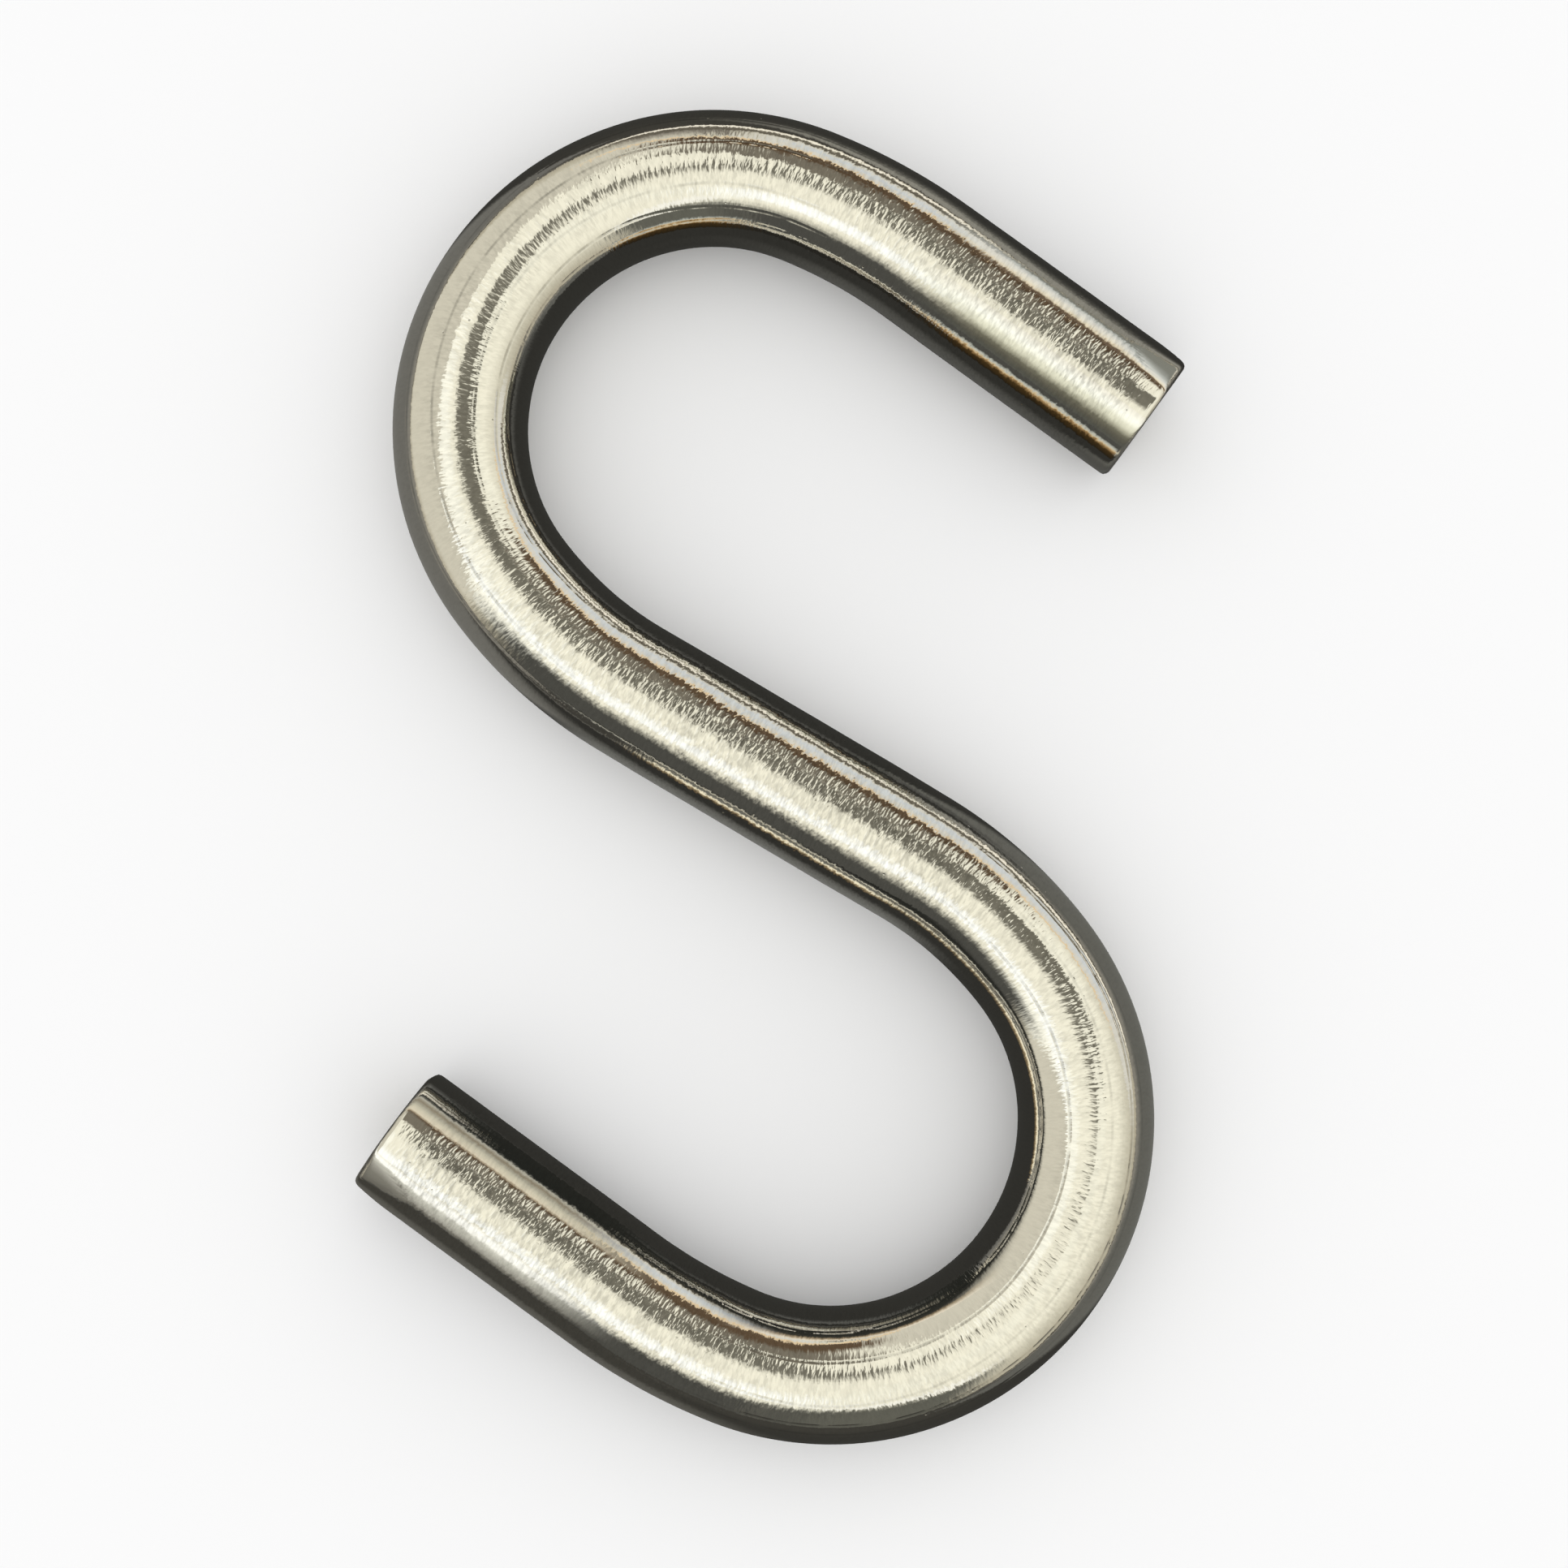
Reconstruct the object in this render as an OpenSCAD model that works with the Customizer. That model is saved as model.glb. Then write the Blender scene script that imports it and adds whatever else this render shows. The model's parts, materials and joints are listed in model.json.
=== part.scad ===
// S hook bent from one length of round stainless bar, lying flat.
// The bar runs straight through the middle, eases into a tight round seat at each end,
// eases out again and finishes in a straight leg that leans a little towards the middle.
// Both ends are cropped square by a shear, which leaves a rolled-over outer side and one
// small pressed flat beside it.
//
// Frame: the hook lies on Z = 0 with the bar's thickness along Z. The origin is the
// middle of the bar on that plane. Y is the load line, through the centres of both seats.
// Half a turn about Z puts one half of the hook on the other.

/* [Bar] */
// Diameter of the bar
bar_d = 6; // [4:0.1:12]

/* [Hooks] */
// Radius of each seat on its inside, where the load hangs
seat_inner_r = 8; // [6:0.1:20]
// Angle that the bar turns through from the middle to a leg, in degrees
hook_turn = 185.4; // [160:0.1:200]

/* [Middle] */
// Length of the straight stretch in the middle
middle_len = 14.2; // [6:0.1:60]
// Centreline radius of the easy bend that leads from the middle into a seat
middle_ease_r = 18; // [14:0.1:40]
// Angle of that easy bend, in degrees
middle_ease_turn = 22.2; // [10:0.1:35]

/* [Legs] */
// Centreline radius of the easy bend that leads from a seat into its leg
leg_ease_r = 24; // [14:0.1:40]
// Angle of that easy bend, in degrees
leg_ease_turn = 14; // [8:0.1:30]
// Length of the straight leg, up to its cropped face
leg_len = 11.8; // [6:0.1:40]

/* [Cropped ends] */
// Radius that breaks the sharp edge round a cropped face
edge_r = 0.25; // [0.1:0.01:0.4]
// How far the rolled-over side reaches back from the cropped face
roll_len = 2.1; // [1:0.05:4]
// How much of the outer side has rolled over at the cropped face
roll_depth = 0.3; // [0.1:0.01:0.5]
// How far the pressed flat reaches back from the cropped face
flat_len = 2.4; // [1:0.05:4]
// How deep the pressed flat is at the cropped face
flat_depth = 0.12; // [0.05:0.01:0.2]
// Lean of the pressed flat from straight up towards the outer side, in degrees
flat_lean = 42; // [35:0.5:45]

/* [Hidden] */
$fn = 96;

// How far a turn may be moved to settle it, and in what steps, in degrees
settle_reach = 0.03;
settle_step = 0.0001;

// How far from 1 the squares of an angle's sine and cosine add up, at six places each
function whole(x) = round(x * 1e6) / 1e6;
function misfit(angle) = abs(pow(whole(sin(angle)), 2) + pow(whole(cos(angle)), 2) - 1);

// The angle within reach that has the least misfit. Stretches that follow a turn by it
// meet the bend face to face, with no step from rounding.
function settled(angle) =
    let (
        tries = [for (move = [-settle_reach : settle_step : settle_reach]) angle + move],
        misfits = [for (try = tries) misfit(try)],
        least = min(misfits)
    )
    [for (i = [0 : len(tries) - 1]) if (misfits[i] == least) tries[i]][0];

bar_r = bar_d / 2;
seat_r = seat_inner_r + bar_r;
middle_turn = settled(middle_ease_turn);
leg_turn = settled(leg_ease_turn);
seat_turn = settled(hook_turn - middle_turn - leg_turn);

// Centre of a seat, for a middle that starts at the origin and runs along Y
seat_x = middle_ease_r - (middle_ease_r - seat_r) * cos(middle_turn);
seat_y = middle_len / 2 + (middle_ease_r - seat_r) * sin(middle_turn);

// Lean of the middle from the load line, which puts that centre on Y
middle_lean = atan2(seat_x, seat_y);

// The rolled-over side is part of a large round that stands across the bar. It leaves the
// bar at half the slope of its chord, and is half as steep again as the chord at the face.
roll_slope = atan(roll_depth / roll_len);
roll_entry = roll_slope / 2;
roll_r = norm([roll_len, roll_depth]) / (2 * sin(roll_slope - roll_entry));

// Slope of the pressed flat along the leg
flat_slope = atan(flat_depth / flat_len);

// Anything longer than this reaches clear of the bar
clear = 2 * bar_d;

// Angle by which a bend is swept too far before it is trimmed, in degrees
overrun = 2;

// Straight bar along Y
module straight(length) {
    rotate([90, 0, 180])
        cylinder(d = bar_d, h = length);
}

// Puts what follows at the far end of a straight stretch
module after_straight(length) {
    translate([0, length, 0])
        children();
}

// Puts what follows at the far end of a bend, turned with the bar
module after_bend(radius, turn) {
    translate([radius, 0, 0])
        rotate([0, 0, -turn])
            translate([-radius, 0, 0])
                children();
}

// Bar bent to the right as it goes along Y. It is swept through whole degrees, a little too
// far, then trimmed square where the next stretch starts, so that the two meet face to face.
module bend(radius, turn) {
    sweep = ceil(turn) + overrun;
    difference() {
        translate([radius, 0, 0])
            rotate_extrude(angle = sweep, start = 180 - sweep)
                translate([radius, 0])
                    circle(d = bar_d);
        after_bend(radius, turn)
            translate([-clear / 2, 0, -clear / 2])
                cube(clear);
    }
}

// Half the outline of a round bar end with its edge broken, with the bar's axis on Y
module end_profile() {
    square([bar_r, leg_len - edge_r]);
    square([bar_r - edge_r, leg_len]);
    translate([bar_r - edge_r, leg_len - edge_r])
        circle(r = edge_r);
}

// What the shear rolled over: the space outside a large round on the bar's outer side
module rolled_away() {
    difference() {
        translate([-clear, leg_len - roll_len, -clear / 2])
            cube([clear, 2 * roll_len, clear]);
        translate([-bar_r, leg_len - roll_len, -clear])
            rotate([0, 0, -roll_entry])
                translate([roll_r, 0, 0])
                    cylinder(r = roll_r, h = 2 * clear, $fn = 4 * $fn);
    }
}

// What the shear pressed flat: a shallow wedge off the top of the outer side
module pressed_away() {
    rotate([0, -flat_lean, 0])
        translate([0, leg_len, bar_r - flat_depth])
            rotate([-flat_slope, 0, 0])
                translate([-clear / 2, -clear, 0])
                    cube([clear, 2 * clear, clear]);
}

// Straight leg along Y with its outer side towards -X, cropped at the far end
module leg() {
    difference() {
        rotate([90, 0, 180])
            rotate_extrude()
                end_profile();
        rolled_away();
        pressed_away();
    }
}

// Half of the hook: from the middle of the bar to the cropped end of one leg
module half_hook() {
    straight(middle_len / 2);
    after_straight(middle_len / 2) {
        bend(middle_ease_r, middle_turn);
        after_bend(middle_ease_r, middle_turn) {
            bend(seat_r, seat_turn);
            after_bend(seat_r, seat_turn) {
                bend(leg_ease_r, leg_turn);
                after_bend(leg_ease_r, leg_turn)
                    leg();
            }
        }
    }
}

module hook() {
    color("silver")
        translate([0, 0, bar_r])
            rotate([0, 0, middle_lean])
                for (side = [0, 180])
                    rotate([0, 0, side])
                        half_hook();
}

hook();
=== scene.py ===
# %% [markdown]
# # An S hook in bent stainless bar
# The object is one length of round bar, cropped at both ends and bent into an S. A maker
# cuts the bar, crops it in a shear and bends it round two pins. This lesson makes it in the
# same order: a straight bar gets its cropped ends first, and is then laid along a bent path.
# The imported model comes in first, because every size and place is measured against it.

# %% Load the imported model
import json
import math

import bpy
from mathutils import Matrix, Vector


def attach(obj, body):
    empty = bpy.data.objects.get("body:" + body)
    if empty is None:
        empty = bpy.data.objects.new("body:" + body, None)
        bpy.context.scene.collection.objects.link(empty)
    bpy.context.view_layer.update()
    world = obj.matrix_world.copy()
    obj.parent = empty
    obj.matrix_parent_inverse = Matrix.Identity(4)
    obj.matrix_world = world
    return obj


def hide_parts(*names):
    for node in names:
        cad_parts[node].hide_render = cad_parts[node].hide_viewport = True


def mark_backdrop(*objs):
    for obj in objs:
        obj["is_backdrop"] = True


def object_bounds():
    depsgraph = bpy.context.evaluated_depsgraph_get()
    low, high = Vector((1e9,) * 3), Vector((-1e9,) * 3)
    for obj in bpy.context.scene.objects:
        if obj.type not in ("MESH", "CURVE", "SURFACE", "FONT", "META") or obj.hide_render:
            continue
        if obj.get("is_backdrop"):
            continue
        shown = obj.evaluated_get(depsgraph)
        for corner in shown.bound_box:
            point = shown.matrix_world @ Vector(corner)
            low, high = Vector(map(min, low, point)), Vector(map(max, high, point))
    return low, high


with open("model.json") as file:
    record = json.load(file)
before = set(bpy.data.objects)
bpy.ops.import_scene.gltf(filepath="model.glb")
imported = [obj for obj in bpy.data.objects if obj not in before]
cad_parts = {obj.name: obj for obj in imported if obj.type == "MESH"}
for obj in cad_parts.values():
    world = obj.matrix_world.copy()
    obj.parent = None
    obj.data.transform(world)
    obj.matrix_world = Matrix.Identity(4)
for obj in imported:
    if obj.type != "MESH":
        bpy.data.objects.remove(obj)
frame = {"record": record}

MM = 0.001
cad_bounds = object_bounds()
cad_size = cad_bounds[1] - cad_bounds[0]
print("packed hook, mm:", [round(side / MM, 2) for side in cad_size])

# %% [markdown]
# ## A short way to write node trees
# Materials, the light and the bending are all trees of nodes. A tree reads best as a sum, so
# a small class wraps an output of a node and adds a Math node for each sign of Python, also
# where a plain number stands on its left, as in 1 - mask. Any other node comes from one
# method that takes its settings first and then what goes into its sockets. A new material or
# world starts with an empty tree.

# %% A class for sums of sockets, and one that adds nodes
class Value:
    """An output of a node that takes part in sums. Each sign adds one Math node."""

    def __init__(self, nodes, socket):
        self.nodes = nodes
        self.socket = socket

    def math(self, operation, *others):
        """A Math node that takes this value first."""
        inputs = dict(enumerate((self,) + others))
        return self.nodes.add("ShaderNodeMath", {"operation": operation}, inputs)

    def flipped(self, operation, other):
        """A Math node that takes this value second."""
        return self.nodes.add("ShaderNodeMath", {"operation": operation}, {0: other, 1: self})

    def output(self, name):
        return Value(self.nodes, self.socket.node.outputs[name])

    def __add__(self, other):
        return self.math("ADD", other)

    def __radd__(self, other):
        return self.math("ADD", other)

    def __sub__(self, other):
        return self.math("SUBTRACT", other)

    def __rsub__(self, other):
        return self.flipped("SUBTRACT", other)

    def __mul__(self, other):
        return self.math("MULTIPLY", other)

    def __rmul__(self, other):
        return self.math("MULTIPLY", other)

    def __truediv__(self, other):
        return self.math("DIVIDE", other)

    def __rtruediv__(self, other):
        return self.flipped("DIVIDE", other)

    def least(self, other):
        return self.math("MINIMUM", other)

    def most(self, other):
        return self.math("MAXIMUM", other)

    def rise(self, start, end):
        """0 before start, 1 past end, and a soft step between them."""
        return self.nodes.add(
            "ShaderNodeMapRange",
            {"interpolation_type": "SMOOTHSTEP"},
            {"Value": self, "From Min": start, "From Max": end},
        )


class Nodes:
    """Adds nodes to one tree. Settings and inputs are dictionaries, set in that order."""

    def __init__(self, tree):
        self.tree = tree

    def add(self, kind, settings=None, inputs=None, output=0):
        node = self.tree.nodes.new(kind)
        for name, setting in (settings or {}).items():
            if name == "stops":
                self.fill_ramp(node.color_ramp.elements, setting)
            else:
                setattr(node, name, setting)
        for name, given in (inputs or {}).items():
            if isinstance(given, Value):
                self.tree.links.new(given.socket, node.inputs[name])
            else:
                node.inputs[name].default_value = given
        return Value(self, node.outputs[output]) if node.outputs else node

    def fill_ramp(self, elements, stops):
        """Puts stops of (place, colour) into a colour ramp, which starts with two of its own."""
        for place, colour in stops[2:]:
            elements.new(place)
        for element, (place, colour) in zip(elements, stops):
            element.position = place
            element.color = colour

    def vector(self, x, y, z):
        return self.add("ShaderNodeCombineXYZ", None, {0: x, 1: y, 2: z})

    def parts(self, vector):
        split = self.add("ShaderNodeSeparateXYZ", None, {0: vector})
        return split, split.output("Y"), split.output("Z")

    def vector_math(self, operation, *vectors):
        inputs = dict(enumerate(vectors))
        return self.add("ShaderNodeVectorMath", {"operation": operation}, inputs, "Vector")

    def mix_colour(self, share, colour, other):
        """The first colour, with this share of the other laid over it."""
        inputs = {0: share, 6: colour, 7: other}
        return self.add("ShaderNodeMix", {"data_type": "RGBA"}, inputs, 2)

    def noise(self, vector, detail=2.0, roughness=0.5):
        inputs = {"Vector": vector, "Scale": 1.0, "Detail": detail, "Roughness": roughness}
        return self.add("ShaderNodeTexNoise", None, inputs, "Fac")


def empty_tree(owner):
    """Clears the tree of a new material or world, and returns what adds nodes to it."""
    owner.use_nodes = True
    owner.node_tree.nodes.clear()
    return Nodes(owner.node_tree)


# %% [markdown]
# ## The line that the bar follows
# The middle of the bar is straight. An easy bend leads into a tight round seat at each end,
# and an easier one leads out of it into a straight leg. A chain of straights and arcs gives
# this line, and every arc starts in the direction in which the last stretch ended. Only one
# half is worked out, because half a turn about the middle gives the other half. The bar's
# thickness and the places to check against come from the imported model's own record.

# %% Work out the bar's middle line
mounts = {mount["name"]: mount for mount in frame["record"]["mounts"]}
bar_r = mounts["upper_leg"]["dims"]["r_mm"] * MM
seat_r = 8 * MM + bar_r
middle_len = 14.2 * MM
leg_len = 11.8 * MM
# Radius of each bend, and the angle that the bar turns through in it, in degrees
middle_ease = (18 * MM, 22.2)
leg_ease = (24 * MM, 14.0)
hook_turn = 185.4
seat = (seat_r, hook_turn - middle_ease[1] - leg_ease[1])
path_step = 0.25 * MM


def half_line():
    """Points from the bar's middle to the end of a leg, with how tight the bend is there."""
    place, heading = Vector((0.0, 0.0)), Vector((0.0, 1.0))
    points = [(place.copy(), 0.0)]

    def go_straight(length):
        """Goes on in the same direction."""
        steps = round(length / path_step)
        for _ in range(steps):
            place.xy += heading * (length / steps)
            points.append((place.copy(), 0.0))

    def bend(radius, turn):
        """Goes round to the right by short chords."""
        steps = round(radius * math.radians(turn) / path_step)
        chord = 2 * radius * math.sin(math.radians(turn) / steps / 2)
        for _ in range(steps):
            half_step = -math.radians(turn) / steps / 2
            heading.rotate(rotation(half_step))
            place.xy += heading * chord
            heading.rotate(rotation(half_step))
            points.append((place.copy(), seat_r / radius))

    go_straight(middle_len / 2)
    bend(*middle_ease)
    bend(*seat)
    bend(*leg_ease)
    go_straight(leg_len)
    return points


def rotation(angle):
    """Matrix that turns a flat vector by an angle."""
    return Matrix.Rotation(angle, 2)


half = half_line()
ease_r, ease_turn = middle_ease
seat_centre = Vector((
    ease_r - (ease_r - seat_r) * math.cos(math.radians(ease_turn)),
    middle_len / 2 + (ease_r - seat_r) * math.sin(math.radians(ease_turn)),
))
# The line is turned until both seats lie on the load line, which is Y
middle_lean = math.atan2(seat_centre.x, seat_centre.y)
for place, _ in half:
    place.rotate(rotation(middle_lean))
bar_line = [(-place, tightness) for place, tightness in reversed(half[1:])] + half
across = Vector((math.cos(middle_lean), math.sin(middle_lean), 0.0))
end_place = bar_line[-1][0]
leg_heading = Vector(mounts["upper_leg"]["axis"][:2])
from_mount = end_place - Vector(mounts["upper_leg"]["pos_m"][:2])
off_line = from_mount - leg_heading * from_mount.dot(leg_heading)
print("points on the line:", len(bar_line))
print("leg's end lies", round(off_line.length / MM, 4), "mm off the packed leg's axis")

# %% [markdown]
# The tightness stored at each point says where the bar thins a little in a bend. Steps in it
# would show as rings, so it is averaged over a few millimetres before it goes on the line.
# The line itself is a mesh of edges only. It carries the modifier that makes the bar.

# %% Make the line as a mesh of edges
BLUR_REACH = 2.5 * MM
blur_reach = round(BLUR_REACH / path_step)
stepped = [value for _, value in bar_line]
smooth_tightness = []
for i in range(len(stepped)):
    near = stepped[max(0, i - blur_reach):i + blur_reach + 1]
    smooth_tightness.append(sum(near) / len(near))

line_mesh = bpy.data.meshes.new("bar_line")
line_mesh.from_pydata(
    [(place.x, place.y, bar_r) for place, _ in bar_line],
    [(i, i + 1) for i in range(len(bar_line) - 1)],
    [],
)
stored = line_mesh.attributes.new("tightness", "FLOAT", "POINT")
stored.data.foreach_set("value", smooth_tightness)
bar = bpy.data.objects.new("bent_bar", line_mesh)
bpy.context.scene.collection.objects.link(bar)
print("length of bar, mm:", round(sum(
    (bar_line[i + 1][0] - bar_line[i][0]).length for i in range(len(bar_line) - 1)) / MM, 2))

# %% [markdown]
# ## The finish of the steel
# The bar is drawn stainless with a fine grain across its length. Up close the grain is short
# strokes round the bar, about a sixth of a millimetre from one to the next. They tilt the
# steel lengthwise, so a mirror image is broken up along the bar and stays sharp round it.
# Coarser marks lie among them at a slant, the drawing die left faint long lines, the bending
# pins drew a few broken lines along the bends, and there are a few tiny pits. Everything is
# read from where a point lay in the straight bar, in millimetres, so the pattern follows
# every bend. It goes into the surface as bump and roughness, and only a little into the
# colour, because metal shows its marks by what it mirrors.

# %% Build the material
STEEL = (0.66, 0.64, 0.60)
DARK_STEEL = tuple(share * 0.5 for share in STEEL)
CROPPED_STEEL = (0.36, 0.34, 0.31)
PIT_STEEL = (0.12, 0.11, 0.10)
DEGREES = 180 / math.pi

# Angle from the top over which the grain grows shallow, in degrees
FLANK = (18, 34)

# Lines that the bending pins drew: degrees from the top, and strength
PIN_LINES = ((-19, 1.0), (-46, 0.5), (17, 0.5), (37, 0.8), (49, 0.4))
PIN_WANDER = 6

# Heights of the marks, in millimetres
FINE_HEIGHT, HAIR_HEIGHT, COARSE_HEIGHT = 0.037, 0.006, 0.010
DIE_HEIGHT, PRESSED_DIE_HEIGHT = 0.0015, 0.0003
PIN_HEIGHT, DRIFT_HEIGHT, PIT_HEIGHT, TORN_HEIGHT = 0.008, 0.016, 0.01, 0.05


def stainless():
    material = bpy.data.materials.new("grained_stainless")
    nodes = empty_tree(material)

    def attribute(name, output):
        settings = {"attribute_type": "GEOMETRY", "attribute_name": name}
        return nodes.add("ShaderNodeAttribute", settings, None, output)

    x, y, along = nodes.parts(attribute("stock", "Vector"))
    bent = attribute("bent", "Fac")
    pressed = attribute("pressed", "Fac")
    cropped = attribute("cropped", "Fac")
    burnished = attribute("burnished", "Fac")

    def strokes(round_scale, along_scale, slant, shift, detail, roughness=0.5):
        """Noise that is stretched round the bar; scales are marks in a millimetre."""
        place = nodes.vector(
            x * round_scale + shift, y * round_scale, along * along_scale + x * slant)
        return nodes.noise(place, detail, roughness)

    fine = strokes(
        round_scale=2.1, along_scale=5.8, slant=0.6, shift=0.0, detail=1.5, roughness=0.6)
    hair = strokes(round_scale=2.8, along_scale=9.5, slant=-1.2, shift=11.0, detail=1.0)
    coarse = strokes(round_scale=1.0, along_scale=3.0, slant=-0.6, shift=23.0, detail=1.0)
    # The grain is deep along the top, and shallow on the flanks, in the bends and at the ends
    side_angle = x.math("ARCTAN2", y) * DEGREES
    flank = side_angle.math("ABSOLUTE").rise(*FLANK)
    patch = nodes.noise(nodes.vector(x * 0.3, y * 0.3, along * 0.22), 2.0).rise(0.3, 0.7)
    grain_depth = (
        (0.75 + patch * 0.4)
        * (1 - flank * 0.6)
        * (1 - bent * 0.5)
        * (1 - burnished * 0.75)
        * (1 - pressed * 0.9)
    )

    drawn = 0.0
    for place, strength in PIN_LINES:
        wander = nodes.noise(nodes.vector(along * 0.12, place, 0.0), 1.0)
        wander = wander * PIN_WANDER - PIN_WANDER / 2
        broken = nodes.noise(nodes.vector(along * 0.7, place, 5.0), 3.0).rise(0.3, 0.62)
        line = 1 - (side_angle + (wander - place)).math("ABSOLUTE").rise(0.2, 2.0)
        drawn = line * broken * strength + drawn
    drawn = drawn * bent.rise(0.35, 0.9)

    die_lines = nodes.noise(nodes.vector(x * 6, y * 6, along * 0.05), 2.0)
    drift = nodes.noise(nodes.vector(x * 0.4, y * 0.4, along * 0.22), 1.0)

    pits = nodes.add(
        "ShaderNodeTexVoronoi",
        {"feature": "F1"},
        {"Vector": nodes.vector(x, y, along), "Scale": 0.9, "Randomness": 1.0},
        "Distance",
    )
    pit = 1 - pits.rise(0.02, 0.05)
    torn = nodes.noise(nodes.vector(x * 0.8, y * 6, along * 2), 3.0)

    height = (
        (fine * FINE_HEIGHT + hair * HAIR_HEIGHT + coarse * COARSE_HEIGHT) * grain_depth
        + die_lines * (DIE_HEIGHT - pressed * (DIE_HEIGHT - PRESSED_DIE_HEIGHT))
        - drawn * PIN_HEIGHT
        + drift * DRIFT_HEIGHT
        - pit * PIT_HEIGHT
        + torn * cropped * TORN_HEIGHT
    )
    normal = nodes.add(
        "ShaderNodeBump", None, {"Strength": 1.0, "Distance": MM, "Height": height}, "Normal")

    tone = (hair.rise(0.42, 0.62) * 0.4 + fine.rise(0.42, 0.62) * 0.35) * grain_depth
    tone = tone + drawn * 0.7
    colour = nodes.mix_colour(tone.least(1.0), STEEL + (1.0,), DARK_STEEL + (1.0,))
    colour = nodes.mix_colour(cropped * 0.5, colour, CROPPED_STEEL + (1.0,))
    colour = nodes.mix_colour(pit * 0.6, colour, PIT_STEEL + (1.0,))
    roughness = 0.04 + coarse.rise(0.4, 0.75) * 0.05 * grain_depth + patch * 0.02 + cropped * 0.3

    shader = nodes.add("ShaderNodeBsdfPrincipled", None, {
        "Base Color": colour,
        "Metallic": 1.0,
        "Roughness": roughness,
        "Normal": normal,
    })
    nodes.add("ShaderNodeOutputMaterial", None, {"Surface": shader})
    return material


steel = stainless()
print("finish:", steel.name, "with", len(steel.node_tree.nodes), "nodes")

# %% [markdown]
# ## The bar as a tree of geometry nodes
# A sweep along a curve could make the round bar, but its ends would be plain discs. So the
# tree starts from a grid of rings and spokes and works out for each point where it lies on a
# straight cropped bar. The outline of half that bar runs from the middle of a cropped face,
# round its broken edge and down the side. Rings stand close together near a face, where the
# forms are small, and further apart towards the middle.

# %% Give the tree its inputs
tree = bpy.data.node_groups.new("crop_and_bend", "GeometryNodeTree")
tree.is_modifier = True
INPUTS = [
    ("Line", "NodeSocketGeometry", None),
    ("Bar radius", "NodeSocketFloat", bar_r),
    ("Broken edge", "NodeSocketFloat", 0.25 * MM),
    ("Roll length", "NodeSocketFloat", 2.1 * MM),
    ("Roll depth", "NodeSocketFloat", 0.3 * MM),
    ("Flat length", "NodeSocketFloat", 2.4 * MM),
    ("Flat depth", "NodeSocketFloat", 0.12 * MM),
    ("Flat lean", "NodeSocketFloat", math.radians(36)),
    ("Corner length", "NodeSocketFloat", 0.5 * MM),
    ("Corner depth", "NodeSocketFloat", 0.2 * MM),
    ("Worn length", "NodeSocketFloat", 1.9 * MM),
    ("Worn depth", "NodeSocketFloat", 0.07 * MM),
    ("Torn depth", "NodeSocketFloat", 0.05 * MM),
    ("Thinning", "NodeSocketFloat", 0.025),
    ("Waviness", "NodeSocketFloat", 0.004),
    ("Rings in a half", "NodeSocketInt", 220),
    ("Spokes", "NodeSocketInt", 128),
    ("Seed", "NodeSocketFloat", 3.0),
    ("Finish", "NodeSocketMaterial", steel),
]
for name, kind, _ in INPUTS:
    tree.interface.new_socket(name=name, in_out="INPUT", socket_type=kind)
tree.interface.new_socket(name="Bar", in_out="OUTPUT", socket_type="NodeSocketGeometry")
geo = Nodes(tree)
group_input = geo.add("NodeGroupInput")
given = {name: group_input.output(name) for name, _, _ in INPUTS}
print("inputs of the tree:", ", ".join(given))

# %% [markdown]
# The number of a point gives its ring and its spoke. Both halves use the same sums, because
# rings are counted from the nearer face.

# %% Find each point's place on the outline
radius, edge = given["Bar radius"], given["Broken edge"]
rings = given["Rings in a half"]
row = given["Spokes"] + 1
index = geo.add("GeometryNodeInputIndex")
ring = ((index + 0.5) / row).math("FLOOR")
spoke = index - ring * row
at_far_end = ring.math("GREATER_THAN", rings - 0.5)
end_sign = 1 - at_far_end * 2
from_face = ring.least(rings * 2 - 1 - ring)

curve = geo.add("GeometryNodeMeshToCurve", None, {"Mesh": given["Line"]})
bar_length = geo.add("GeometryNodeCurveLength", None, {"Curve": curve})

# Share of even spacing in the rings, against spacing that grows from the face
EVEN_SHARE = 0.2
face_r = radius - edge
edge_arc = edge * (math.pi / 2)
outline_half = face_r + edge_arc + bar_length / 2 - edge
step = from_face / (rings - 0.5)
walked = outline_half * (step * EVEN_SHARE + step * step * (1 - EVEN_SHARE))
round_edge = ((walked - face_r) / edge).most(0.0).least(math.pi / 2)
ring_r = walked.least(face_r) + edge * round_edge.math("SINE")
depth = edge * (1 - round_edge.math("COSINE")) + (walked - face_r - edge_arc).most(0.0)

# %% [markdown]
# ## The cropped ends
# A shear rolls over the side of the bar that its blade meets first, and here it also pressed
# a small flat beside that. Both are limits on how far the metal reaches: a point that would
# lie past the rolled side or the pressed flat is brought back to it. A smooth minimum leaves
# the soft border that a press leaves. The edge is broken after that, so it follows the new
# outline, and the face gets the fine tear lines of the cut.

# %% Form the section near a face
# Angles start under the bar, so that the seam of the grid lies where the hook rests
angle = spoke / given["Spokes"] * (2 * math.pi) - math.pi / 2
tightness = geo.add(
    "GeometryNodeInputNamedAttribute", {"data_type": "FLOAT"}, {"Name": "tightness"})
outward = angle.math("COSINE") * radius * end_sign
upward = angle.math("SINE") * radius

# Widths of the soft borders of the roll and of the pressed flat
ROLL_BORDER = 0.04 * MM
FLAT_BORDER = 0.08 * MM
roll_share = (1 - depth / given["Roll length"]).most(0.0)
roll_drop = given["Roll depth"] / 2 * (roll_share + roll_share * roll_share)
roll_limit = radius - roll_drop
rolled = geo.add(
    "ShaderNodeMath", {"operation": "SMOOTH_MIN"}, {0: outward, 1: roll_limit, 2: ROLL_BORDER})
near_face = (1 - depth / given["Roll length"]).rise(-0.3, 0.1)
rolled = outward + (rolled - outward) * near_face

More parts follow.
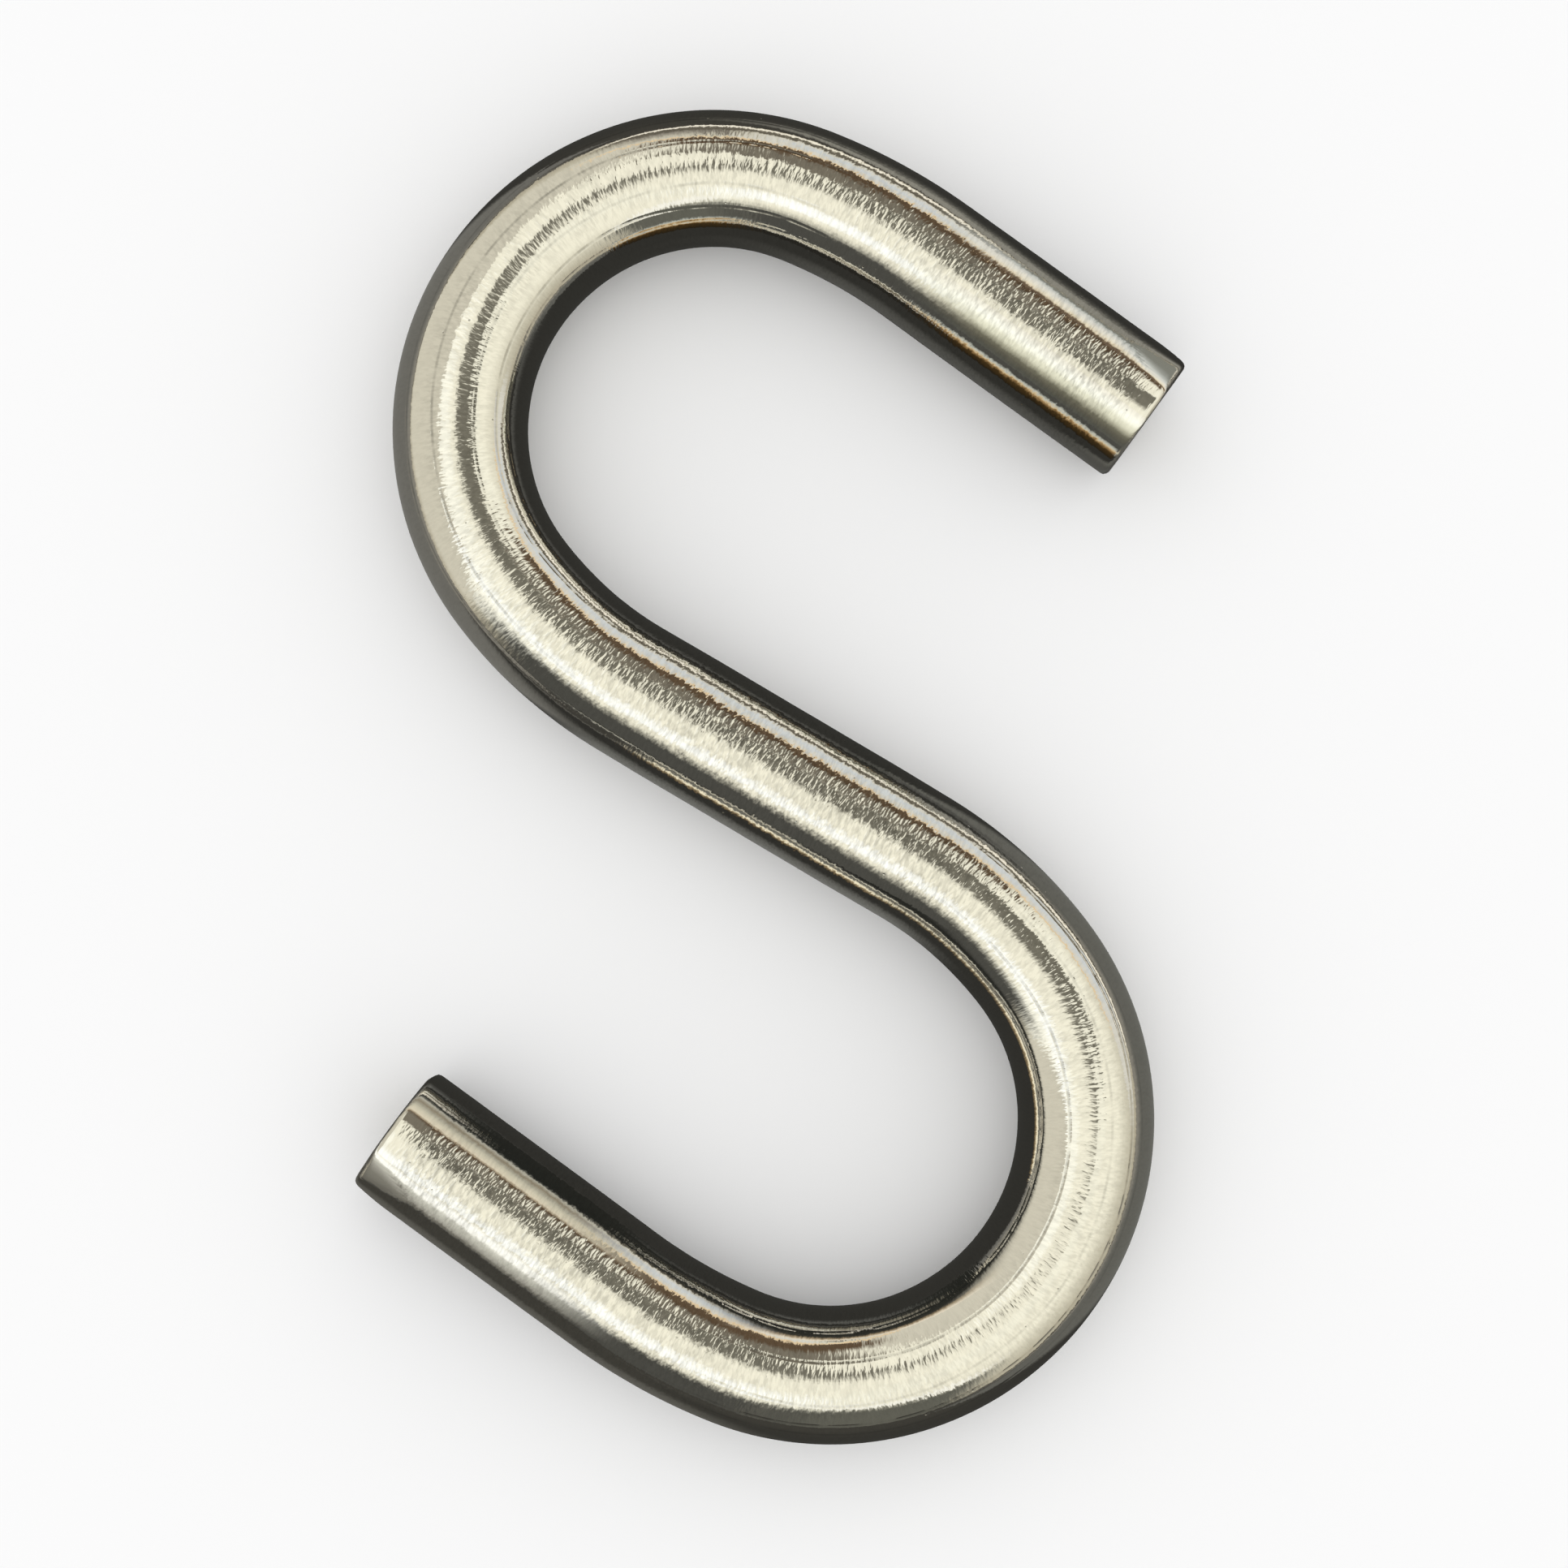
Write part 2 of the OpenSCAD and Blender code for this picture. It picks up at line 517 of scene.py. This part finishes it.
# The inner side has only its corner rounded
corner_share = (1 - depth / given["Corner length"]).most(0.0)
corner_limit = radius - given["Corner depth"] * corner_share * corner_share
rolled = rolled.most(0 - corner_limit)

lean_sin, lean_cos = given["Flat lean"].math("SINE"), given["Flat lean"].math("COSINE")
flat_limit = radius - given["Flat depth"] * (1 - depth / given["Flat length"])
reach = rolled * lean_sin + upward * lean_cos
past_flat = geo.add(
    "ShaderNodeMath",
    {"operation": "SMOOTH_MAX"},
    {0: reach - flat_limit, 1: 0.0, 2: FLAT_BORDER},
)
near_flat = (1 - depth / given["Flat length"]).rise(-0.2, 0.1)
past_flat = past_flat * near_flat
pressed = (past_flat / given["Flat depth"]).rise(0.02, 0.25)
outward = rolled - past_flat * lean_sin
upward = upward - past_flat * lean_cos

# Handling has worn the top down a little towards the face, and has rubbed its grain away
worn_share = (1 - depth / given["Worn length"]).most(0.0)
worn_drop = given["Worn depth"] * worn_share * worn_share
upward = upward - worn_drop * (upward / radius).most(0.0)
burnished = worn_share.rise(0.0, 0.7)

# %% [markdown]
# The bar isn't perfect between its ends either. It thins by a few hundredths in the seats,
# and its side has a waviness far too slight to feel. A mirror doubles every tilt, and that is
# why bands of light on such a bar are never quite straight.

# %% Add thinning, waviness and the torn face
# How many waves and tears there are to a millimetre
WAVES_ROUND, WAVES_ALONG = 0.35, 0.22
TEARS_ALONG, TEARS_ACROSS = 0.5, 5
# Keeps the tears of one end apart from those of the other
TEARS_SHIFT = 9

station = depth + at_far_end * (bar_length - depth * 2)
scale = ring_r / radius
seed = given["Seed"]
wave_place = geo.vector(
    outward / MM * WAVES_ROUND, upward / MM * WAVES_ROUND, station / MM * WAVES_ALONG + seed)
wave = geo.noise(wave_place, 2.0) - 0.5
scale = scale * (1 + wave * 2 * given["Waviness"])
tear_place = geo.vector(
    outward * scale / MM * TEARS_ALONG,
    upward * scale / MM * TEARS_ACROSS,
    end_sign * TEARS_SHIFT + seed,
)
tear = geo.noise(tear_place, 3.0) * given["Torn depth"]
on_face = 1 - (ring_r / face_r).rise(0.9, 1.0)
torn_side = (outward * scale / radius).rise(0.55, 0.1)
station_depth = depth + tear * on_face * torn_side
station = station_depth + at_far_end * (bar_length - station_depth * 2)

# %% [markdown]
# ## Laying the bar along its line
# Sample Curve tells where the line is at a given length and which way it heads. The bar's
# section is put up at a right angle to that. The grid's two long sides and the rings at the
# two face centres fall together, so they are merged, and the bar is one closed skin.

# %% Bend the bar and finish the tree
sample = geo.add(
    "GeometryNodeSampleCurve",
    {"mode": "LENGTH", "data_type": "FLOAT"},
    {"Curves": curve, "Value": tightness, "Length": station},
    "Position",
)
heading = sample.output("Tangent")
sideways = geo.vector_math("NORMALIZE", geo.vector_math("CROSS_PRODUCT", heading, (0, 0, 1)))
thin = 1 - given["Thinning"] * sample.output("Value")
side_offset = geo.add("ShaderNodeVectorMath", {"operation": "SCALE"}, {
    "Vector": sideways, "Scale": outward * end_sign * scale * thin})
place = geo.vector_math("ADD", sample, side_offset)
place = geo.vector_math("ADD", place, geo.vector(0.0, 0.0, upward * scale))

grid = geo.add("GeometryNodeMeshGrid", None, {
    "Size X": 1.0, "Size Y": 1.0, "Vertices X": rings * 2, "Vertices Y": row}, "Mesh")
stock_place = geo.vector(
    outward * end_sign * scale / MM, upward * scale / MM, station / MM)
# Points closer than this become one
MERGE_REACH = 0.001 * MM


def store(geometry, name, kind, value, domain="POINT"):
    """Keeps a value on the mesh under a name, where the material finds it."""
    settings = {"data_type": kind, "domain": domain}
    inputs = {"Geometry": geometry, "Name": name, "Value": value}
    return geo.add("GeometryNodeStoreNamedAttribute", settings, inputs)


skin = store(grid, "UVMap", "FLOAT2", grid.output("UV Map"), "CORNER")
skin = store(skin, "stock", "FLOAT_VECTOR", stock_place)
skin = store(skin, "bent", "FLOAT", sample.output("Value"))
skin = store(skin, "pressed", "FLOAT", pressed)
skin = store(skin, "burnished", "FLOAT", burnished)
skin = store(skin, "cropped", "FLOAT", 1 - round_edge / (math.pi / 2))
skin = geo.add("GeometryNodeSetPosition", None, {"Geometry": skin, "Position": place})
skin = geo.add("GeometryNodeMergeByDistance", None, {"Geometry": skin, "Distance": MERGE_REACH})
skin = geo.add("GeometryNodeSetShadeSmooth", None, {"Geometry": skin, "Shade Smooth": True})
skin = geo.add("GeometryNodeRealizeInstances", None, {"Geometry": skin})
skin = geo.add(
    "GeometryNodeSetMaterial", None, {"Geometry": skin, "Material": given["Finish"]})
geo.add("NodeGroupOutput", None, {"Bar": skin})
print("nodes in the tree:", len(tree.nodes))

# %% [markdown]
# ## From tree to plain mesh
# The modifier's inputs are set by their identifiers. The evaluated result becomes a plain
# mesh, the modifier goes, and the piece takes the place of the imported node.

# %% Run the tree and keep its result
modifier = bar.modifiers.new("crop_and_bend", "NODES")
modifier.node_group = tree
identifiers = {
    item.name: item.identifier for item in tree.interface.items_tree if item.in_out == "INPUT"}
for name, _, value in INPUTS:
    if value is not None:
        modifier[identifiers[name]] = value

bpy.context.view_layer.update()
depsgraph = bpy.context.evaluated_depsgraph_get()
bar_mesh = bpy.data.meshes.new_from_object(
    bar.evaluated_get(depsgraph), preserve_all_data_layers=True, depsgraph=depsgraph)
bar_mesh.name = "bent_bar"
bar.modifiers.clear()
bar.data = bar_mesh
bpy.data.meshes.remove(line_mesh)


def volume(mesh):
    """Volume inside a closed mesh, in cubic millimetres; below 0 if its faces point inwards."""
    mesh.calc_loop_triangles()
    total = 0.0
    for triangle in mesh.loop_triangles:
        a, b, c = (mesh.vertices[v].co for v in triangle.vertices)
        total += a.dot(b.cross(c)) / 6
    return total / MM ** 3


if volume(bar_mesh) < 0:
    bar_mesh.flip_normals()
print("triangles:", len(bar_mesh.loop_triangles), "volume, mm3:", round(volume(bar_mesh), 1))

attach(bar, "root")
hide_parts("hook")

# %% [markdown]
# ## The floor
# The hook lies on a plain pale board. The board is left out of what the steel mirrors, so
# that the sides of the bar look dark against it, as they do in the photograph.

# %% Lay the floor


def flat_object(name, corners):
    """An object with a single face."""
    mesh = bpy.data.meshes.new(name)
    mesh.from_pydata(corners, [], [(0, 1, 2, 3)])
    thing = bpy.data.objects.new(name, mesh)
    bpy.context.scene.collection.objects.link(thing)
    return thing


def square(reach):
    """Corners of a square that reaches this far from its middle."""
    return [(-reach, -reach, 0), (reach, -reach, 0), (reach, reach, 0), (-reach, reach, 0)]


# The floor and the table lie a hair below the hook, so that no two faces fall together
FLOOR_DROP, TABLE_DROP = 0.02 * MM, 0.03 * MM
FLOOR_REACH = 1.5

floor = flat_object("floor", square(FLOOR_REACH))
floor.location.z = -FLOOR_DROP
floor.visible_glossy = False
board = bpy.data.materials.new("pale_board")
nodes = empty_tree(board)
paint = nodes.add("ShaderNodeBsdfPrincipled", None, {
    "Base Color": (0.9, 0.9, 0.9, 1.0), "Roughness": 0.9, "Specular IOR Level": 0.0})
nodes.add("ShaderNodeOutputMaterial", None, {"Surface": paint})
floor.data.materials.append(board)

# %% [markdown]
# ## The table that the steel mirrors
# In place of the board the steel mirrors a darker table, which no other ray sees. It glows
# with painted light and shade: it is darkest inside the hook, where the hook's own shade
# falls. Painted patches of light lie on it to the left and the right of the hook and past
# its legs, and give each rim of the bar the grey that it has in the photograph. A patch is
# a soft-edged oblong. Its colour is given as it shows in the steel.

# %% Lay the table and its patches of light


def seen(red, green, blue):
    """The light that shows in the steel as this screen colour, on a scale up to 255."""
    def linear(value):
        """The screen's own curve, undone."""
        value = value / 255
        return value / 12.92 if value < 0.04045 else ((value + 0.055) / 1.055) ** 2.4
    shown = (linear(red), linear(green), linear(blue))
    return tuple(light / share for light, share in zip(shown, STEEL)) + (1.0,)


def only_mirrored(thing):
    """Only rays that bounce off the steel meet this thing."""
    thing.visible_camera = False
    thing.visible_diffuse = False
    thing.visible_shadow = False


def inside(place, limits, softness):
    """A mask that is 1 between two limits, with a soft border at each."""
    start, end = (width / 2 for width in softness)
    return (
        place.rise(limits[0] - start, limits[0] + start)
        * (1 - place.rise(limits[1] - end, limits[1] + end))
    )


# Name, colour, turn in degrees; then in mm the limits and softness over and along the turn
PATCHES = [
    ("far table", seen(62, 60, 54), 0, (-900, 900), (1, 1), (40, 1500), (40, 1)),
    ("far table below", seen(62, 60, 54), 0, (-900, 900), (1, 1), (-1500, -40), (1, 40)),
    ("left of the hook", seen(106, 104, 97), 0, (-1500, -11), (1, 2.5), (0, 90), (8, 60)),
    ("right of the hook", seen(96, 95, 88), 0, (11.5, 1500), (2.5, 1), (-90, 9), (60, 8)),
    ("far left", seen(130, 126, 115), 0, (-1500, -50), (1, 50), (-60, 200), (60, 99)),
    ("far right", seen(130, 126, 115), 0, (50, 1500), (50, 1), (-200, 60), (99, 60)),
    ("past the upper leg", seen(136, 133, 122), 44, (41, 1500), (22, 1), (-22, 30), (18, 16)),
    ("past the lower leg", seen(62, 60, 54), 44, (-1500, -24), (1, 4), (-16, 18), (8, 8)),
    ("at the lower leg's foot", seen(86, 84, 77), 44, (-31, -25), (5, 2), (-16, 18), (8, 8)),
    ("beside the middle", seen(102, 101, 95), 49.8, (-8, -3), (6, 1), (-9, 9), (4, 4)),
    ("under the upper leg", seen(76, 75, 70), 46, (14.5, 19), (5, 1), (-12, 12), (6, 6)),
]
table = flat_object("mirrored_table", square(FLOOR_REACH))
table.location.z = -TABLE_DROP
only_mirrored(table)
table_painted_light = bpy.data.materials.new("mirrored_table")
nodes = empty_tree(table_painted_light)
spot = nodes.vector_math(
    "DIVIDE", nodes.add("ShaderNodeTexCoord", None, None, "Object"), (MM, MM, MM))
spot_x, spot_y, _ = nodes.parts(spot)
# Painted shade and light: the table glows dark under and inside the hook, and each patch is
# painted light laid over that
table_light = seen(48, 47, 43)
for _, colour, turn, over_limits, over_soft, along_limits, along_soft in PATCHES:
    turn_sin, turn_cos = math.sin(math.radians(turn)), math.cos(math.radians(turn))
    over = spot_x * turn_cos + spot_y * turn_sin
    beside = spot_y * turn_cos - spot_x * turn_sin
    mask = inside(over, over_limits, over_soft) * inside(beside, along_limits, along_soft)
    table_light = nodes.mix_colour(mask, table_light, colour)
table_glow = nodes.add("ShaderNodeEmission", None, {"Color": table_light, "Strength": 1.0})
nodes.add("ShaderNodeOutputMaterial", None, {"Surface": table_glow})
table.data.materials.append(table_painted_light)
print("patches of light:", ", ".join(name for name, *_ in PATCHES))

# %% [markdown]
# ## Small cards
# A photographer puts narrow cards beside bright metal to draw a line on it. These cards glow,
# and what they draw is painted reflection and painted shade. Four of them lie just over the
# sides of the two legs and paint the bands that the legs mirror, as the legs don't show the
# room in the same places as the middle does. Two stand in the two mouths and paint a
# reflected amber line with a dark brown one under it along the lower sides of the middle and
# of the upper leg. A dark one paints the shade that turns the lower leg's inner side black,
# and another over the lower seat paints the same shade on the bend. Each shows only in the
# steel, and only from its front. Distances in the lists below are in millimetres.

# %% Put up the cards


def card(name, corner, spread, along, reach, half_length, fade, stops):
    """Glows with painted reflection or shade, from its corner outwards by stops of (share of
    reach, colour), with soft ends.
    """
    thing = flat_object(name, [
        (0, -half_length, 0), (reach, -half_length, 0), (reach, half_length, 0),
        (0, half_length, 0)])
    turned = Matrix((spread, along, spread.cross(along))).transposed().to_4x4()
    thing.matrix_world = Matrix.Translation(corner) @ turned
    only_mirrored(thing)
    material = bpy.data.materials.new(name)
    nodes = empty_tree(material)
    far, sideways, _ = nodes.parts(nodes.add("ShaderNodeTexCoord", None, None, "Object"))
    front = 1 - nodes.add("ShaderNodeNewGeometry", None, None, "Backfacing")
    ends = sideways.math("ABSOLUTE").rise(half_length, half_length - fade)
    light = nodes.add("ShaderNodeValToRGB", {"stops": stops}, {"Fac": far / reach}, "Color")
    glow = nodes.add("ShaderNodeEmission", None, {"Color": light, "Strength": 1.0})
    clear = nodes.add("ShaderNodeBsdfTransparent")
    mixed = nodes.add("ShaderNodeMixShader", None, {0: front * ends, 1: clear, 2: glow})
    nodes.add("ShaderNodeOutputMaterial", None, {"Surface": mixed})
    thing.data.materials.append(material)
    return thing


# Gaps between the top of the bar and the cards that lie over it
LEG_CARD_GAP, SEAT_CARD_GAP = 0.05 * MM, 0.08 * MM
# Half the length of the cards over the legs, and how much of it fades
LEG_CARD_HALF, LEG_CARD_FADE = 11 * MM, 6 * MM
bar_top = 2 * bar_r
upright = Vector((0.0, 0.0, 1.0))
middle_heading = Vector((-across.y, across.x, 0.0))
lower_heading = Vector(mounts["lower_leg"]["axis"])
lower_out = lower_heading.cross(upright) * -1
lower_foot = Vector(mounts["lower_leg"]["pos_m"][:2] + [0.0])
lower_halfway = lower_foot + lower_heading * (4.5 * MM)
upper_heading, upper_out, upper_halfway = -lower_heading, -lower_out, lower_halfway * -1

# Painted reflections: each card over a leg paints the bands of light and shade that the leg
# mirrors
# Name, a place halfway along the leg, the way that the card lies along it, the way that the
# card spreads from it, and then where the card starts beside the leg's axis, its reach, and
# the light at distances from its start
OVER_LEGS = [
    ("over_lower_leg_outside", lower_halfway, lower_heading, lower_out, 1.1, 20, [
        (0, seen(250, 246, 228)), (0.25, seen(266, 265, 254)), (0.75, seen(260, 258, 246)),
        (0.95, seen(228, 226, 212)), (1.2, seen(204, 202, 188)), (1.8, seen(188, 186, 172)),
        (3, seen(165, 162, 150)), (5.2, seen(124, 121, 110)), (8.2, seen(106, 103, 94)),
        (20, seen(94, 91, 82))]),
    ("over_lower_leg_inside", lower_halfway, -lower_heading, -lower_out, 1.8, 9, [
        (0, seen(140, 122, 96)), (0.2, seen(218, 207, 181)), (0.6, seen(206, 199, 175)),
        (1, seen(185, 180, 159)), (1.35, seen(166, 161, 143)), (2.15, seen(137, 127, 107)),
        (3.5, seen(174, 170, 154)), (4.2, seen(162, 158, 143)), (4.9, seen(92, 91, 83)),
        (7, seen(38, 39, 35)), (9, seen(36, 36, 32))]),
    ("over_upper_leg_outside", upper_halfway, upper_heading, upper_out, 1.45, 60, [
        (0, seen(110, 94, 78)), (0.27, seen(112, 94, 70)), (0.33, seen(226, 196, 150)),
        (0.5, seen(230, 219, 192)), (1.1, seen(232, 226, 207)), (2, seen(220, 218, 207)),
        (3.75, seen(190, 192, 184)), (5.75, seen(154, 155, 146)), (7.5, seen(126, 126, 116)),
        (60, seen(126, 122, 108))]),
    ("over_upper_leg_inside", upper_halfway, -upper_heading, -upper_out, 0.55, 4, [
        (0, seen(246, 241, 222)), (0.4, seen(264, 263, 247)), (0.6, seen(262, 261, 241)),
        (0.85, seen(238, 236, 211)), (1.1, seen(222, 220, 195)), (1.4, seen(178, 175, 152)),
        (1.8, seen(112, 109, 92)), (2.3, seen(94, 91, 78)), (3, seen(84, 83, 73)),
        (4, seen(84, 84, 76))]),
]
over_legs = []
for name, halfway, heading, spread, start, reach, lights in OVER_LEGS:
    corner = halfway + spread * (start * MM) + upright * (bar_top + LEG_CARD_GAP)
    stops = [(place / reach, light) for place, light in lights]
    over_legs.append(card(
        name, corner, spread, heading, reach * MM, LEG_CARD_HALF, LEG_CARD_FADE, stops))

# Painted reflection: this card glows with the amber line and the dark brown band under it, which
# the steel beside the mouth mirrors
lower_mouth = card(
    "card_in_lower_mouth",
    corner=lower_foot - lower_out * (bar_r + 0.5 * MM),
    spread=upright,
    along=-lower_heading,
    reach=5 * MM,
    half_length=9 * MM,
    fade=4 * MM,
    stops=[
        (0.0, seen(60, 50, 36)), (0.14, seen(112, 98, 74)), (0.36, seen(160, 142, 110)),
        (0.46, seen(252, 240, 206)), (0.58, seen(226, 217, 190)), (0.7, seen(116, 114, 102)),
        (1.0, seen(92, 91, 84)),
    ],
)
# Painted reflection, as in the lower mouth
upper_mouth = card(
    "card_in_upper_mouth",
    corner=across * (bar_r + 0.4 * MM),
    spread=upright,
    along=-middle_heading,
    reach=8 * MM,
    half_length=9 * MM,
    fade=4 * MM,
    stops=[
        (0.0, seen(34, 29, 20)), (0.42, seen(64, 48, 24)), (0.6, seen(150, 120, 78)),
        (0.68, seen(206, 182, 140)), (0.82, seen(190, 190, 176)), (1.0, seen(110, 112, 105)),
    ],
)
# Painted shade: a near-black card that the lower leg's inner side mirrors, where the hook's own
# shade lies
painted_shade_card = card(
    "painted_shade_card",
    corner=lower_foot - lower_out * (12.5 * MM),
    spread=upright,
    along=lower_heading,
    reach=6.7 * MM,
    half_length=10 * MM,
    fade=7 * MM,
    stops=[(0.0, seen(38, 38, 34)), (1.0, seen(34, 35, 31))],
)
# Painted shade over the lower seat, with a thin painted highlight along its near edge
seat_bottom = Vector(mounts["lower_seat"]["pos_m"][:2] + [bar_top + SEAT_CARD_GAP])
load_line = Vector((0.0, 1.0, 0.0))
over_seat = card(
    "painted_shade_card_over_seat",
    corner=seat_bottom + load_line * (0.8 * MM),
    spread=load_line,
    along=Vector((1.0, 0.0, 0.0)),
    reach=13 * MM,
    half_length=6 * MM,
    fade=4 * MM,
    stops=[
        (0.0, seen(236, 224, 200)), (0.05, seen(150, 132, 104)), (0.1, seen(58, 56, 49)),
        (0.2, seen(42, 42, 37)), (1.0, seen(38, 38, 34)),
    ],
)
cards = over_legs + [lower_mouth, upper_mouth, painted_shade_card, over_seat]
print("cards:", ", ".join(thing.name for thing in cards))
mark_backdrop(floor, table, *cards)

# %% [markdown]
# ## The light that the steel mirrors
# Bright steel has hardly any colour of its own, so the room round it makes its look. The room
# is only a colour for each direction. It starts as a cream ceiling that dims towards the
# horizon, with a grey floor below, and then things are hung in it one over the other, as a
# stage is dressed. Each thing is a soft-edged oblong on the sphere of directions. Its place
# across is the angle from straight up, seen along the straight middle of the bar, and its
# place lengthwise is the angle out of that plane. A thing that is long lengthwise draws a
# long band on the straights, and one that is short shows only where a stroke or a bend tilts
# the steel towards it. That is why dark bands look grainy here and bright ones smooth.

# %% List the things in the room
CEILING = [
    (0, seen(246, 241, 218)),
    (50, seen(243, 238, 215)),
    (75, seen(196, 190, 168)),
    (88, seen(176, 168, 146)),
    (94, seen(112, 107, 96)),
    (180, seen(96, 94, 86)),
]

# Name, colour, angles across and their softness, angles lengthwise and their softness
THINGS = [
    ("grey wall to the south", seen(96, 95, 85), (-100, -47), (6, 14), (-56, -17), (14, 8)),
    ("bright sky to the west", seen(256, 253, 234), (-70, 4), (14, 8), (14, 30.5), (8, 2.5)),
    ("bright sky to the east", seen(246, 242, 220), (-50, 50), (20, 20), (-26, -13), (8, 6)),
    ("long bright lamp", seen(266, 266, 256), (-44, -29), (8, 14), (-15, 34), (14, 30)),
    ("slate cupboard", seen(74, 73, 67), (-100, -56), (3, 17), (-23, 26), (20, 16)),
    ("lamp by the wall", seen(250, 247, 232), (-47, -40), (4, 6), (-50, -20), (12, 8)),
    ("grey wall to the north", seen(110, 103, 92), (63, 96), (3, 3), (27, 48), (6, 12)),
    ("pale wall to the west", seen(206, 200, 180), (-84, 70), (20, 20), (30.5, 120), (2.5, 1)),
    ("camera's shade", seen(118, 114, 100), (2, 18), (12, 3), (-14, 7), (4, 6)),
    ("photographer's hand", seen(114, 110, 96), (16, 27), (3, 3), (-23, 7), (4, 6)),
    ("photographer's shade", seen(120, 113, 98), (27, 59), (3, 2), (-5, 24), (5, 12)),
    ("brown sleeve", seen(92, 75, 56), (46, 59), (10, 2), (-14, 36), (6, 10)),
    ("window", seen(214, 210, 196), (60.5, 77), (2, 3), (-60, 24), (15, 8)),
    ("window's cool middle", seen(206, 209, 206), (67, 74), (4, 4), (-40, 18), (12, 8)),
    ("window's warm edge", seen(226, 200, 158), (59, 61.5), (1.5, 1.5), (-40, 50), (10, 10)),
    ("dark sill", seen(98, 92, 79), (78, 83.5), (2, 2), (-50, 50), (10, 10)),
    ("bright line over the bench", seen(246, 238, 218), (84.5, 88.5), (2, 1), (-50, 50), (10, 10)),
]
print("things in the room:", ", ".join(name for name, *_ in THINGS))

# %% [markdown]
# The world's tree goes through the list and lays each thing over the last with a mask. Only
# rays that bounce off the steel see this room. The floor is lit by plain white light, and the
# camera itself sees a plain pale backdrop past the floor's edge.

# %% Build the world
world = bpy.data.worlds.new("studio")
bpy.context.scene.world = world
nodes = empty_tree(world)
direction = nodes.add("ShaderNodeTexCoord", None, None, "Generated")
east, north, up = nodes.parts(direction)
toward = east * across.x + north * across.y
lengthwise = (north * across.x - east * across.y).math("ARCSINE") * DEGREES
across_angle = toward.math("ARCTAN2", up) * DEGREES
zenith_angle = up.math("ARCCOSINE") * DEGREES
room = nodes.add(
    "ShaderNodeValToRGB",
    {"stops": [(angle / 180, colour) for angle, colour in CEILING]},
    {"Fac": zenith_angle / 180},
    "Color",
)
for _, colour, across_limits, across_soft, along_limits, along_soft in THINGS:
    mask = (
        inside(across_angle, across_limits, across_soft)
        * inside(lengthwise, along_limits, along_soft)
    )
    room = nodes.mix_colour(mask, room, colour)

WHITE_LIGHT = (1.08, 1.08, 1.08, 1.0)
mirrored = nodes.add("ShaderNodeLightPath", None, None, "Is Glossy Ray")
shown = nodes.mix_colour(mirrored, WHITE_LIGHT, room)
background = nodes.add("ShaderNodeBackground", None, {"Color": shown, "Strength": 1.0})
nodes.add("ShaderNodeOutputWorld", None, {"Surface": background})
print("nodes in the world:", len(world.node_tree.nodes))

# %% [markdown]
# ## The camera
# The photograph looks straight down, 2 degrees from square, from 130 mm above the bar's axis.
# A camera that close doesn't see the three straights alike: each mirrors the same room a
# little further out, as in the photograph. The load line leans to the upper left in the
# picture, and the picture is 68 mm wide at the height of the bar's axis.

# %% Place the camera
camera_distance = 130 * MM
tilt_down, tilt_side = math.radians(1.954), math.radians(0.091)
picture_turn = math.radians(9.621)
aim = Vector((0.434 * MM, -0.569 * MM, bar_r))
# Width of the sensor and length of the lens, in millimetres as the camera counts them
SENSOR_WIDTH, LENS = 36, 69.04

picture_up = Vector((math.sin(picture_turn), math.cos(picture_turn), 0.0))
picture_right = Vector((picture_up.y, -picture_up.x, 0.0))
back = upright.copy()
back += picture_right * math.tan(tilt_side) - picture_up * math.tan(tilt_down)
back.normalize()
view_right = picture_up.cross(back).normalized()
view_up = back.cross(view_right)

camera_data = bpy.data.cameras.new("camera")
camera_data.sensor_width = SENSOR_WIDTH
camera_data.lens = LENS
camera_data.clip_start = 0.01
camera = bpy.data.objects.new("camera", camera_data)
bpy.context.scene.collection.objects.link(camera)
camera.matrix_world = Matrix.Translation(aim + back * camera_distance) @ Matrix(
    (view_right, view_up, back)).transposed().to_4x4()
bpy.context.scene.camera = camera
bpy.context.scene.view_settings.view_transform = "Standard"
print("camera at, mm:", [round(value / MM, 1) for value in camera.matrix_world.translation])

# %% [markdown]
# ## Compare the sizes and finish
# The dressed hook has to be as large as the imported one, so both boxes are written down.

# %% Write the two boxes and finish
visual_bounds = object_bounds()
visual_size = visual_bounds[1] - visual_bounds[0]
print("dressed against packed:", [round(v / c, 4) for v, c in zip(visual_size, cad_size)])
